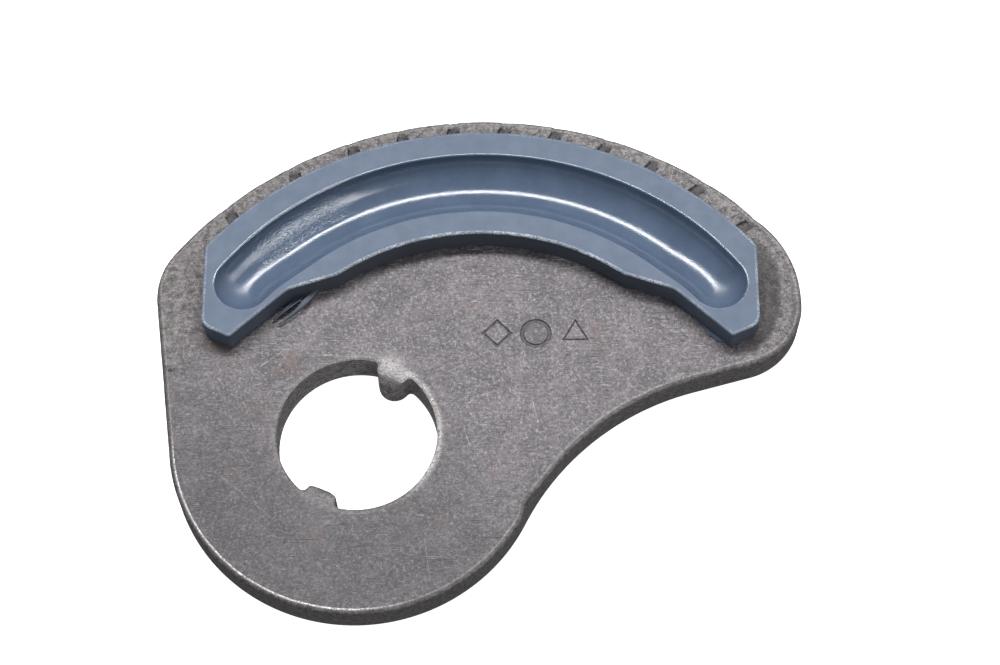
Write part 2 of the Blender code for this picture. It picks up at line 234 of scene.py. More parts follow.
def rounded_corner(before, corner, after, radius, chord):
    """Arc of the given radius that rounds a corner between two straight edges."""
    inward = unit(before - corner)
    outward = unit(after - corner)
    half = math.acos(inward @ outward) / 2
    centre = corner + unit(inward + outward) * radius / math.sin(half)
    reach = radius / math.tan(half)
    start = heading(centre, corner + inward * reach)
    end = heading(centre, corner + outward * reach)
    sweep = (end - start + math.pi) % (2 * math.pi) - math.pi
    return arc(centre, radius, start, start + sweep, chord)


def even_loop(pieces, spacing):
    """One closed loop from stretches of points: no repeats, and long straight runs divided."""
    points = np.vstack(pieces)
    keep = [points[0]]
    for point in points[1:]:
        if np.linalg.norm(point - keep[-1]) > FINE / 10:
            keep.append(point)
    if np.linalg.norm(keep[0] - keep[-1]) <= FINE / 10:
        keep.pop()
    loop = []
    for start, end in zip(keep, keep[1:] + keep[:1]):
        parts = max(1, math.ceil(np.linalg.norm(end - start) / spacing - 0.2))
        loop += [start + (end - start) * k / parts for k in range(parts)]
    return np.array(loop)


def outward_normals(loop):
    """Unit normals of an anticlockwise loop, pointing out of it."""
    ahead = np.roll(loop, -1, axis=0) - loop
    ahead /= np.linalg.norm(ahead, axis=1, keepdims=True)
    along = ahead + np.roll(ahead, 1, axis=0)
    along /= np.linalg.norm(along, axis=1, keepdims=True)
    return np.column_stack((along[:, 1], -along[:, 0]))


def plate_outline():
    """Outline of the plate: lobe, hollow neck, straight heel, tip, shoulder, rim and corner."""
    flank_angle = math.pi + FLANK_LEAN
    heel_angle = HEEL_SLOPE - math.pi / 2
    heel_normal = direction(heel_angle)
    heel_offset = heel_normal @ TIP_CENTRE + TIP_RADIUS
    neck = line_meets_circle(heel_normal, heel_offset + NECK_RADIUS, BORE, LOBE_RADIUS + NECK_RADIUS, 1)
    shoulder = circles_meet(
        RIM_CENTRE, RIM_RADIUS - SHOULDER_RADIUS, TIP_CENTRE, SHOULDER_RADIUS - TIP_RADIUS, 1)
    corner = line_meets_circle(
        direction(flank_angle), LOBE_RADIUS - CORNER_RADIUS, RIM_CENTRE, RIM_RADIUS - CORNER_RADIUS, -1)
    neck_angle = heading(BORE, neck)
    tip_end = heading(shoulder, TIP_CENTRE)
    rim_start = heading(RIM_CENTRE, shoulder)
    rim_end = heading(RIM_CENTRE, corner)
    return even_loop([
        arc(BORE, LOBE_RADIUS, flank_angle, neck_angle + 2 * math.pi, EDGE),
        arc(neck, NECK_RADIUS, neck_angle + math.pi, heel_angle + math.pi, EDGE),
        arc(TIP_CENTRE, TIP_RADIUS, heel_angle, tip_end, EDGE),
        arc(shoulder, SHOULDER_RADIUS, tip_end, rim_start, EDGE),
        arc(RIM_CENTRE, RIM_RADIUS, rim_start, rim_end, EDGE),
        arc(corner, CORNER_RADIUS, rim_end, flank_angle, EDGE),
    ], EDGE)


def bore_outline():
    """Outline of the bore's void: a circle with two opposite rounded lugs standing into it."""
    pieces = []
    for angle in LUG_ANGLES:
        axis = direction(angle)
        lug = LUG_DISTANCE * axis
        fillet = circles_meet(BORE, BORE_RADIUS - LUG_FILLET, lug, LUG_RADIUS + LUG_FILLET, -1)
        start = heading(BORE, fillet)
        reach = (angle - start) % (2 * math.pi)
        fillet_turn = (heading(fillet, lug) - start) % (2 * math.pi)
        lug_start = heading(lug, fillet)
        lug_turn = (lug_start - angle - math.pi) % (2 * math.pi)
        half = np.vstack((
            arc(fillet, LUG_FILLET, start, start + fillet_turn, FINE),
            arc(lug, LUG_RADIUS, lug_start, lug_start - lug_turn, FINE)))
        mirrored = 2 * np.outer(half @ axis, axis) - half
        pieces += [half, mirrored[::-1]]
        pieces.append(arc(BORE, BORE_RADIUS, angle + reach, angle + math.pi - reach, MEDIUM))
    return even_loop(pieces, MEDIUM)


def insert_outline():
    """Outline of the insert, mirrored across its axis of symmetry, anticlockwise."""
    middle = math.pi / 2
    arc_corner = np.array([
        INSERT_HALF_WIDTH, math.sqrt(INSERT_OUTER_RADIUS ** 2 - INSERT_HALF_WIDTH ** 2)])
    arc_angle = math.asin(arc_corner[1] / INSERT_OUTER_RADIUS)
    fillet_angle = CORNER_FILLETS["arc"] / INSERT_OUTER_RADIUS
    before_arc = INSERT_OUTER_RADIUS * direction(arc_angle + fillet_angle)
    side_foot = TOE_POINT + direction(TOE_SLOPE) * (
        (INSERT_HALF_WIDTH - TOE_POINT[0]) / math.cos(TOE_SLOPE))
    inner_end = INSERT_INNER_RADIUS * direction(middle - INNER_ARC_HALF_ANGLE)
    origin = np.array([0.0, 0.0])
    half = np.vstack((
        arc(origin, INSERT_INNER_RADIUS, middle, middle - INNER_ARC_HALF_ANGLE, MEDIUM),
        rounded_corner(inner_end, STEP_POINT, TOE_POINT, CORNER_FILLETS["step"], FINE),
        rounded_corner(STEP_POINT, TOE_POINT, side_foot, CORNER_FILLETS["toe"], FINE / 2),
        rounded_corner(TOE_POINT, side_foot, arc_corner, CORNER_FILLETS["side"], FINE),
        rounded_corner(side_foot, arc_corner, before_arc, CORNER_FILLETS["arc"], FINE),
        arc(origin, INSERT_OUTER_RADIUS, arc_angle + 2 * fillet_angle, middle, MEDIUM)))
    mirrored = half[::-1] * np.array([-1.0, 1.0])
    return ARC_CENTRE + even_loop([half, mirrored], MEDIUM)


def arc_slot(half_width, half_angle, along=None):
    """Anticlockwise outline of a round-ended slot along the coil's arc."""
    start = math.pi / 2 - half_angle
    end = math.pi / 2 + half_angle
    along = along or COIL_RADIUS * (end - start) / 180
    steps = round(COIL_RADIUS * (end - start) / along)
    round_steps = 28

    def stretch(centre, radius, first, last, count):
        angles = np.linspace(first, last, count + 1)[:-1]
        return centre + radius * directions(angles)

    near_end = ARC_CENTRE + COIL_RADIUS * direction(start)
    far_end = ARC_CENTRE + COIL_RADIUS * direction(end)
    return np.vstack((
        stretch(near_end, half_width, start - math.pi, start, round_steps),
        stretch(ARC_CENTRE, COIL_RADIUS + half_width, start, end, steps),
        stretch(far_end, half_width, end, end + math.pi, round_steps),
        stretch(ARC_CENTRE, COIL_RADIUS - half_width, end, start, steps)))


def inside(points, loop):
    """Which points lie inside a closed loop."""
    result = np.zeros(len(points), bool)
    x, y = points[:, 0], points[:, 1]
    for (ax, ay), (bx, by) in zip(loop, np.roll(loop, -1, axis=0)):
        if ay != by:
            crosses = (ay > y) != (by > y)
            result ^= crosses & (x < (bx - ax) * (y - ay) / (by - ay) + ax)
    return result


def in_sheet(points, loops):
    """Which points lie inside the first loop and outside the others."""
    result = inside(points, loops[0])
    for hole in loops[1:]:
        result &= ~inside(points, hole)
    return result


def distance_to_loop(points, loop):
    """Signed distance to a polygon, negative inside."""
    nearest = np.full(len(points), np.inf)
    for a, b in zip(loop, np.roll(loop, -1, axis=0)):
        edge = b - a
        share = np.clip((points - a) @ edge / (edge @ edge), 0, 1)
        nearest = np.minimum(nearest, lengths(points - a - np.outer(share, edge)))
    return np.where(inside(points, loop), -nearest, nearest)


def distance_to_line(points, start, end):
    """Distance to a straight line from start to end."""
    start, end = np.asarray(start), np.asarray(end)
    along = end - start
    share = np.clip((points - start) @ along / (along @ along), 0, 1)
    return lengths(points - start - np.outer(share, along))


def smooth_step(low, high, values):
    """0 below low and 1 above high, eased between."""
    share = np.clip((values - low) / (high - low), 0, 1)
    return share * share * (3 - 2 * share)


def noise_at(points, size, seed=0.0, octaves=3):
    """Fractal noise about 0, at points in the plane or in space, with bumps of the given size."""
    points = np.asarray(points, float)
    if points.shape[1] == 2:
        points = np.column_stack((points, np.full(len(points), seed * 7.3)))
    return np.array([
        noise.fractal(Vector(p / size) + Vector((seed * 3.1, seed * 5.7, seed)), 1.0, 2.0, octaves)
        for p in points])


# ------------ meshes from rings and sheets

SHIFT = np.array([PLATE_LOW.x, PLATE_LOW.y]) / MM - plate_outline().min(axis=0)


def put_in_scene(name, data):
    """An object in the scene for a mesh, light or camera."""
    thing = bpy.data.objects.new(name, data)
    bpy.context.scene.collection.objects.link(thing)
    return thing


class Shell:
    """A closed surface put together from rings, strips between them, and flat-ish sheets."""

    def __init__(self):
        self.points = []
        self.faces = []
        self.marks = {}

    def add(self, plan, height, **marks):
        """Adds points at a height and returns their numbers. Marks are numbers kept per point."""
        first = len(self.points)
        height = np.broadcast_to(height, len(plan))
        self.points += [(x, y, z) for (x, y), z in zip(plan, height)]
        for name in set(self.marks) | set(marks):
            column = self.marks.setdefault(name, [0.0] * first)
            column += list(np.broadcast_to(marks.get(name, 0.0), len(plan)))
        return np.arange(first, len(self.points))

    def strip(self, lower, upper):
        """Quads between two closed rings with the same number of points."""
        self.faces += list(zip(lower, np.roll(lower, -1), np.roll(upper, -1), upper))

    def stack(self, rings):
        """Strips between each ring and the next."""
        for lower, upper in zip(rings, rings[1:]):
            self.strip(lower, upper)

    def sheet(self, loops, lines, spacing, height, **marks):
        """A triangulated sheet inside the first loop and outside the others, that follows the lines."""
        loops = [np.asarray(loop, np.float32).astype(float) for loop in loops]
        coords = []
        edges = []
        for chain in loops + list(lines):
            first = len(coords)
            coords += [tuple(point) for point in chain]
            edges += [(first + k, first + (k + 1) % len(chain)) for k in range(len(chain))]
        tree = kdtree.KDTree(len(coords))
        for number, point in enumerate(coords):
            tree.insert((*point, 0.0), number)
        tree.balance()
        low = loops[0].min(axis=0)
        high = loops[0].max(axis=0)
        rows = np.arange(low[1], high[1], spacing * math.sqrt(3) / 2)
        grid = []
        for number, y in enumerate(rows):
            x = np.arange(low[0] + spacing / 2 * (number % 2), high[0], spacing)
            grid.append(np.column_stack((x, np.full(len(x), y))))
        grid = np.vstack(grid)
        coords += [
            tuple(p) for p in grid[in_sheet(grid, loops)] if tree.find((*p, 0.0))[2] > spacing * CLEARANCE]
        plan, _, faces, _, _, _ = delaunay_2d_cdt(
            [Vector(point) for point in coords], edges, [], 0, 1e-5, False)
        plan = np.array([tuple(point) for point in plan])
        faces = np.array(faces)
        keep = in_sheet(plan[faces].mean(axis=1), loops)
        values = {name: (value(plan) if callable(value) else value) for name, value in marks.items()}
        numbers = self.add(plan, height(plan) if callable(height) else height, **values)
        self.faces += [tuple(numbers[face]) for face in faces[keep]]

    def build(self, name, sharp=50.0):
        """The mesh object in the CAD's frame, welded, facing out and smooth."""
        mesh = bpy.data.meshes.new(name)
        shift = np.array([*SHIFT, 0.0])
        mesh.from_pydata((np.array(self.points) + shift) * MM, [], [tuple(map(int, f)) for f in self.faces])
        for label, column in self.marks.items():
            layer = mesh.attributes.new(label, "FLOAT", "POINT")
            layer.data.foreach_set("value", np.array(column, np.float32))
        shape = bmesh.new()
        shape.from_mesh(mesh)
        bmesh.ops.remove_doubles(shape, verts=shape.verts, dist=WELD * MM)
        loose = [vert for vert in shape.verts if not vert.link_faces]
        bmesh.ops.delete(shape, geom=loose, context="VERTS")
        bmesh.ops.recalc_face_normals(shape, faces=shape.faces)
        shape.to_mesh(mesh)
        shape.free()
        mesh.shade_smooth()
        mesh.set_sharp_from_angle(angle=math.radians(sharp))
        return put_in_scene(name, mesh)


# ------------ camera, light and floor

def add_camera():
    """A long lens from the front and above, turned a touch about its axis."""
    tilt, turn, roll = (math.radians(angle) for angle in CAMERA_ANGLES)
    right = Vector((math.cos(turn), math.sin(turn), 0.0))
    forward = Vector((-math.cos(tilt) * math.sin(turn), math.cos(tilt) * math.cos(turn), -math.sin(tilt)))
    up = right.cross(forward)
    across = math.cos(roll) * right + math.sin(roll) * up
    above = math.cos(roll) * up - math.sin(roll) * right
    camera = put_in_scene("camera", bpy.data.cameras.new("camera"))
    camera.data.lens = CAMERA_LENS
    camera.data.sensor_width = SENSOR_WIDTH
    camera.data.clip_start = 0.01
    place = Matrix((across, above, -forward)).transposed().to_4x4()
    place.translation = Vector(CAMERA_PLACE) * MM
    camera.matrix_world = place
    bpy.context.scene.camera = camera


def add_softbox(name, azimuth, elevation, distance, size, watts):
    """A rectangular light that faces the object. Azimuth is from +X towards +Y."""
    light = bpy.data.lights.new(name, "AREA")
    light.shape = "RECTANGLE"
    light.size, light.size_y = size
    light.energy = watts
    box = put_in_scene(name, light)
    a, e = math.radians(azimuth), math.radians(elevation)
    away = Vector((math.cos(a) * math.cos(e), math.sin(a) * math.cos(e), math.sin(e)))
    box.location = away * distance + Vector((0.0, 0.0, PLATE_TOP * MM))
    box.rotation_euler = away.to_track_quat("Z", "Y").to_euler()
    return box


def add_floor():
    """A wide white floor under the plate."""
    mesh = bpy.data.meshes.new("floor")
    corners = [(-1, -1), (1, -1), (1, 1), (-1, 1)]
    mesh.from_pydata([(x * FLOOR_REACH, y * FLOOR_REACH, 0.0) for x, y in corners], [], [(0, 1, 2, 3)])
    floor = put_in_scene("floor", mesh)
    floor.location.z = -FLOOR_GAP * MM
    material = bpy.data.materials.new("white_floor")
    material.use_nodes = True
    shader = material.node_tree.nodes["Principled BSDF"]
    shader.inputs["Base Color"].default_value = (0.93, 0.93, 0.93, 1.0)
    shader.inputs["Roughness"].default_value = 0.9
    shader.inputs["Emission Color"].default_value = (1.0, 1.0, 1.0, 1.0)
    shader.inputs["Emission Strength"].default_value = 1.0
    mesh.materials.append(material)
    floor.visible_diffuse = False
    floor.visible_glossy = False


def add_world():
    """Even white surroundings."""
    world = bpy.data.worlds.new("studio")
    world.use_nodes = True
    background = world.node_tree.nodes["Background"]
    background.inputs["Color"].default_value = (1.0, 1.0, 1.0, 1.0)
    background.inputs["Strength"].default_value = 0.33
    bpy.context.scene.world = world
    bpy.context.scene.view_settings.view_transform = "Standard"


# ------------ materials

class Shader:
    """A Principled material and short calls for the nodes that feed it."""

    def __init__(self, name):
        self.material = bpy.data.materials.new(name)
        self.material.use_nodes = True
        self.tree = self.material.node_tree
        self.main = self.tree.nodes["Principled BSDF"]
        self.place = self.node("TexCoord").outputs["Object"]

    def node(self, kind, settings=None, **inputs):
        node = self.tree.nodes.new("ShaderNode" + kind)
        for key, value in (settings or {}).items():
            setattr(node, key, value)
        for key, value in inputs.items():
            self.feed(node.inputs[key.replace("_", " ")], value)
        return node

    def feed(self, socket, value):
        """Links an output, or sets a plain value."""
        if isinstance(value, bpy.types.NodeSocket):
            self.tree.links.new(value, socket)
        else:
            socket.default_value = value

    def mark(self, name):
        """A number kept per point of the mesh."""
        return self.node("Attribute", {"attribute_name": name}).outputs["Fac"]

    def noise(self, size, detail=3.0, roughness=0.6, place=None, distortion=0.0):
        """Noise about 0.5 with bumps of the given size in millimetres."""
        return self.node(
            "TexNoise", Vector=place or self.place, Scale=1.0 / (size * MM), Detail=detail,
            Roughness=roughness, Distortion=distortion).outputs["Fac"]

    def ramp(self, value, low, high, out_low=0.0, out_high=1.0):
        """Eased change from one number to another."""
        return self.node(
            "MapRange", {"interpolation_type": "SMOOTHSTEP"}, Value=value, From_Min=low, From_Max=high,
            To_Min=out_low, To_Max=out_high).outputs["Result"]

    def math(self, operation, first, second=0.0, kind="Math", result="Value"):
        node = self.node(kind, {"operation": operation})
        self.feed(node.inputs[0], first)
        self.feed(node.inputs[1], second)
        return node.outputs[result]

    def times(self, first, second):
        return self.math("MULTIPLY", first, second)

    def blend(self, share, first, second):
        """Mixes two colours."""
        node = self.node("Mix", {"data_type": "RGBA"})
        self.feed(node.inputs[0], share)
        for socket, colour in ((node.inputs[6], first), (node.inputs[7], second)):
            self.feed(socket, colour if isinstance(colour, bpy.types.NodeSocket) else (*colour, 1.0))
        return node.outputs[2]

    def layers(self, colour, rows):
        """Colours laid over another. A row holds a value, the ramp from it to a share, and a colour."""
        for value, low, high, out_low, out_high, over in rows:
            colour = self.blend(self.ramp(value, low, high, out_low, out_high), colour, over)
        return colour

    def scratches(self, angle, length, width, amount, offset):
        """Thin broken lines in one direction, 0 to 1. A higher amount gives more of them."""
        mapping = self.node(
            "Mapping", Vector=self.place, Rotation=(0.0, 0.0, math.radians(angle)),
            Location=(offset, offset * 0.7, 0.0), Scale=(width / length, 1.0, 0.3))
        lines = self.noise(width, detail=1.0, place=mapping.outputs["Vector"], distortion=0.15)
        return self.ramp(lines, 0.72 - amount, 0.78 - amount)

    def line(self, start, end, width):
        """One straight mark on the top face between two points in plan, 0 to 1. All in millimetres."""
        start, end = np.array(start), np.array(end)
        length = np.linalg.norm(end - start)
        along = (end - start) / length
        offset = self.math("SUBTRACT", self.place, (*start * MM, 0.0), "VectorMath", "Vector")
        reach = self.math("DOT_PRODUCT", offset, (*along, 0.0), "VectorMath")
        aside = self.math("DOT_PRODUCT", offset, (-along[1], along[0], 0.0), "VectorMath")
        beside = self.ramp(self.math("ABSOLUTE", aside), width / 2 * MM, width * MM, 1.0, 0.0)
        begun = self.ramp(reach, 0.0, 0.1 * length * MM)
        over = self.ramp(reach, 0.85 * length * MM, length * MM, 1.0, 0.0)
        return self.times(beside, self.times(begun, over))

    def bump(self, height, depth, under=None):
        """Relief of the given depth in millimetres, on top of another relief."""
        node = self.node("Bump", Height=height, Distance=depth * MM)
        if under is not None:
            self.tree.links.new(under, node.inputs["Normal"])
        return node.outputs["Normal"]


DARK = (0.030, 0.027, 0.030)
LIGHT = (0.42, 0.40, 0.41)

# Single scratches on the plate's top: start, end, width and colour
SINGLE_SCRATCHES = [
    ((-7.8, -29.7), (6.5, -28.0), 0.20, DARK),
    ((14.0, -12.0), (16.2, -21.0), 0.18, LIGHT),
    ((-4.0, -19.5), (-1.5, -27.5), 0.20, LIGHT),
    ((-62.0, -12.0), (-57.0, -24.0), 0.14, LIGHT),
    ((-70.0, -31.0), (-52.0, -46.0), 0.16, LIGHT),
    ((-41.0, -48.0), (-29.0, -40.5), 0.16, LIGHT),
    ((-13.5, -52.0), (-12.0, -63.0), 0.20, LIGHT),
    ((18.0, 6.0), (33.0, 5.0), 0.16, DARK),
    ((-72.0, 4.0), (-60.0, 2.0), 0.22, DARK),
    ((-26.0, 14.0), (-12.0, 15.5), 0.16, DARK),
    ((42.0, 12.0), (58.0, 9.0), 0.16, DARK),
    ((-58.0, -3.0), (-50.0, 3.0), 0.16, LIGHT),
]

# Fine scratches all over it: direction in degrees, length, width, amount, and an offset in metres
FINE_SCRATCHES = [
    (112.0, 4.0, 0.11, 0.060, 0.013),
    (64.0, 3.5, 0.10, 0.060, 0.031),
    (148.0, 5.0, 0.11, 0.055, 0.077),
    (20.0, 5.0, 0.10, 0.055, 0.051),
    (88.0, 6.0, 0.11, 0.055, 0.117),
    (0.0, 9.0, 0.10, 0.050, 0.171),
]


def steel_material():
    """Worn forged steel: mottled and finely scratched where smooth, grainy where as forged, with painted
    shade on the walls, in the sinks and towards the front.
    """
    s = Shader("forged_steel_worn")
    rough = s.mark("as_forged")
    edge = s.mark("edge")
    dark = s.mark("grime")
    wall = s.mark("wall")

    clouds = s.noise(12.0, detail=6.0, roughness=0.70)
    blotches = s.noise(2.2, detail=6.0, roughness=0.80)
    flecks = s.noise(0.75, detail=3.0, roughness=0.8)
    grain = s.noise(0.42, detail=2.0)
    brushed = s.node("Mapping", Vector=s.place, Scale=(0.18, 1.0, 1.0))
    fibres = s.noise(0.40, detail=4.0, roughness=0.75, place=brushed.outputs["Vector"])
    # Painted shade: the top darkens towards the front, where the key light at the back falls off.
    spread = s.node("SeparateXYZ", Vector=s.place)
    back = s.math("ADD", spread.outputs["Y"], s.times(spread.outputs["X"], 0.35))
    back = s.ramp(back, -0.080, 0.010)
    smooth_colour = s.blend(s.ramp(clouds, 0.36, 0.64), (0.078, 0.071, 0.077), (0.134, 0.123, 0.133))
    smooth_colour = s.layers(smooth_colour, [
        (blotches, 0.50, 0.66, 0.0, 0.55, (0.225, 0.210, 0.223)),
        (blotches, 0.34, 0.46, 0.60, 0.0, (0.050, 0.044, 0.049)),
        (flecks, 0.54, 0.64, 0.0, 0.65, (0.310, 0.292, 0.307)),
        (flecks, 0.36, 0.46, 0.70, 0.0, (0.034, 0.029, 0.033)),
        (fibres, 0.36, 0.48, 0.14, 0.0, (0.040, 0.036, 0.038)),
        (fibres, 0.54, 0.66, 0.0, 0.12, (0.330, 0.312, 0.324)),
    ])
    forged_colour = s.blend(s.ramp(blotches, 0.38, 0.60), (0.080, 0.073, 0.074), (0.260, 0.242, 0.242))
    forged_colour = s.layers(forged_colour, [
        (flecks, 0.52, 0.64, 0.0, 0.7, (0.44, 0.42, 0.42)),
        (flecks, 0.36, 0.46, 0.5, 0.0, (0.050, 0.045, 0.046)),
    ])
    colour = s.blend(rough, smooth_colour, forged_colour)
    colour = s.blend(s.ramp(grain, 0.32, 0.45, 0.40, 0.0), colour, (0.040, 0.036, 0.038))
    faint = s.ramp(s.noise(1.4, detail=4.0, roughness=0.8), 0.42, 0.60)
    for start, end, width, shade in SINGLE_SCRATCHES:
        line = s.times(s.line(start, end, width), faint)
        colour = s.blend(s.times(line, 0.60), colour, shade)

    light_marks = 0.0
    for row in FINE_SCRATCHES:
        light_marks = s.math("MAXIMUM", light_marks, s.scratches(*row))
    presence = s.ramp(s.noise(7.0, detail=3.0), 0.44, 0.62)
    presence = s.math("MAXIMUM", presence, s.times(rough, 0.8))
    light_marks = s.times(light_marks, presence)
    dark_marks = s.times(s.scratches(-4.0, 16.0, 0.13, 0.020, 0.093), s.ramp(s.noise(14.0), 0.50, 0.62))
    dark_marks = s.times(dark_marks, s.ramp(rough, 0.0, 0.6, 1.0, 0.0))
    specks = s.ramp(s.noise(0.42, detail=1.0), 0.67, 0.74)
    colour = s.blend(s.times(light_marks, 0.75), colour, (0.50, 0.48, 0.49))
    colour = s.blend(s.times(dark_marks, 0.55), colour, (0.036, 0.032, 0.035))
    colour = s.blend(s.times(specks, 0.50), colour, (0.46, 0.44, 0.44))
    stains = s.ramp(s.noise(9.0, detail=5.0), 0.58, 0.70, 0.0, 0.42)
    stains = s.times(stains, s.ramp(rough, 0.0, 1.0, 1.0, 0.3))
    colour = s.blend(stains, colour, (0.150, 0.098, 0.086))
    # Painted shade towards the front.
    colour = s.blend(s.ramp(back, 0.0, 1.0, 0.42, 0.0), colour, (0.030, 0.027, 0.031))
    # Painted shade: walls take a dark colour by the wall mark; the mottle in it is the forging's own grain.
    wall_mottle = s.ramp(s.noise(1.1, detail=5.0, roughness=0.8), 0.40, 0.60)
    wall_shade_colour = s.blend(wall_mottle, (0.026, 0.024, 0.024), (0.125, 0.118, 0.116))
    colour = s.blend(s.times(wall, 0.72), colour, wall_shade_colour)
    # Painted shade in slots, marks and at the tip.
    colour = s.blend(s.times(dark, 0.60), colour, (0.030, 0.027, 0.028))
    bright_edge = s.times(edge, s.ramp(s.noise(0.6, detail=5.0, roughness=0.8), 0.34, 0.60))
    colour = s.blend(s.times(bright_edge, 0.9), colour, (0.80, 0.78, 0.77))
    s.feed(s.main.inputs["Base Color"], colour)

    bare = s.math("MAXIMUM", s.math("MAXIMUM", light_marks, bright_edge), specks)
    s.feed(s.main.inputs["Metallic"], s.ramp(bare, 0.0, 1.0, 0.30, 0.8))
    gloss = s.math("ADD", s.ramp(blotches, 0.3, 0.7, 0.48, 0.62), s.ramp(rough, 0.0, 1.0, 0.0, 0.10))
    s.feed(s.main.inputs["Roughness"], gloss)

    relief = s.bump(s.noise(1.0, detail=5.0, roughness=0.7), 0.14)
    forged_relief = s.times(s.noise(0.8, detail=5.0, roughness=0.7), rough)
    relief = s.bump(forged_relief, 0.45, relief)
    marks = s.math("SUBTRACT", s.times(light_marks, 0.4), dark_marks)
    relief = s.bump(marks, 0.06, relief)
    s.tree.links.new(relief, s.main.inputs["Normal"])
    return s.material


def plastic_material():
    """Blue-grey moulded plastic: satin lips, a glossier trough with orange peel, whitened worn edges and
    painted shade on the walls.
    """
    s = Shader("moulded_plastic_worn")
    edge = s.mark("edge")
    polish = s.mark("polish")
    peel = s.mark("peel")

    clouds = s.noise(9.0, detail=4.0)
    fine = s.noise(0.5, detail=3.0)
    colour = s.blend(s.ramp(clouds, 0.35, 0.65), (0.069, 0.101, 0.160), (0.082, 0.118, 0.182))
    colour = s.blend(s.ramp(fine, 0.45, 0.80, 0.0, 0.30), colour, (0.110, 0.148, 0.205))
    dust = s.ramp(s.noise(0.40, detail=1.0), 0.745, 0.80, 0.0, 0.5)
    dust = s.times(dust, s.ramp(s.noise(12.0), 0.48, 0.62))
    colour = s.blend(dust, colour, (0.36, 0.41, 0.47))
    chips = s.times(edge, s.ramp(s.noise(0.45, detail=4.0, roughness=0.75), 0.40, 0.56))
    chips = s.times(chips, s.ramp(s.noise(9.0, detail=2.0), 0.40, 0.58, 0.45, 1.0))
    # Painted shade: the wall mark darkens the insert's walls and the shavings nearly to black.
    colour = s.blend(s.times(s.mark("wall"), 0.62), colour, (0.014, 0.018, 0.028))
    colour = s.blend(s.times(chips, 0.85), colour, (0.62, 0.68, 0.76))
    s.feed(s.main.inputs["Base Color"], colour)

    gloss = s.ramp(polish, 0.0, 1.0, 0.56, 0.14)
    gloss = s.math("ADD", gloss, s.ramp(s.noise(3.0, detail=4.0), 0.3, 0.7, -0.02, 0.04))
    gloss = s.math("ADD", gloss, s.times(chips, 0.15))
    s.feed(s.main.inputs["Roughness"], gloss)
    s.main.inputs["IOR"].default_value = 1.5

    relief = s.bump(s.noise(0.35, detail=2.0), 0.02)
    wrinkles = s.times(s.noise(0.85, detail=3.0, roughness=0.6, distortion=1.0), peel)
    relief = s.bump(wrinkles, 0.17, relief)
    relief = s.bump(s.times(chips, -1.0), 0.05, relief)
    s.tree.links.new(relief, s.main.inputs["Normal"])
    return s.material


# ------------ the plate

def slot_frames():
    """Middle, direction and half size of each anti-slip slot. They point at the bore."""
    frames = []
    for degrees in SLOT_ANGLES:
        outward = direction(math.radians(degrees))
        reach = ARC_CENTRE - RIM_CENTRE
        along = reach @ outward
        rim = -along + math.sqrt(along ** 2 - reach @ reach + (RIM_RADIUS - SLOT_RIM_MARGIN) ** 2)
        outer_end = ARC_CENTRE + rim * outward
        axis = -unit(outer_end)
        frames.append((outer_end + axis * SLOT_LENGTH / 2, axis))
    return frames


def rectangle(middle, axis, half_length, half_width):
    """Four corners of a turned rectangle, anticlockwise."""
    side = np.array([-axis[1], axis[0]])
    return np.array([
        middle - axis * half_length - side * half_width, middle + axis * half_length - side * half_width,
        middle + axis * half_length + side * half_width, middle - axis * half_length + side * half_width])


def mark_loop(x, sides, radius):
    """A regular polygon of the stamped row."""
    centre = np.array([x, MARK_ROW_Y])
    angles = math.pi / 2 + 2 * math.pi * np.arange(sides) / sides
    return centre + radius * directions(angles)


def sunk(distance, depth, wall):
    """How deep a sunken shape is at a signed distance from its outline."""
    return depth * smooth_step(0.0, wall, -distance)


def tip_relief(plan):
    """Distance outside the ridge that runs round the tip, and where that relief is present."""
    offset = plan - TIP_CENTRE
    bearing = np.degrees(np.arctan2(offset[:, 1], offset[:, 0]))
    ridge = np.interp(bearing, TIP_RIDGE_BEARINGS, TIP_RIDGE_RADII)
    beside = smooth_step(68.0, 73.0, (plan - ARC_CENTRE)[:, 0])
    return lengths(offset) - ridge, beside


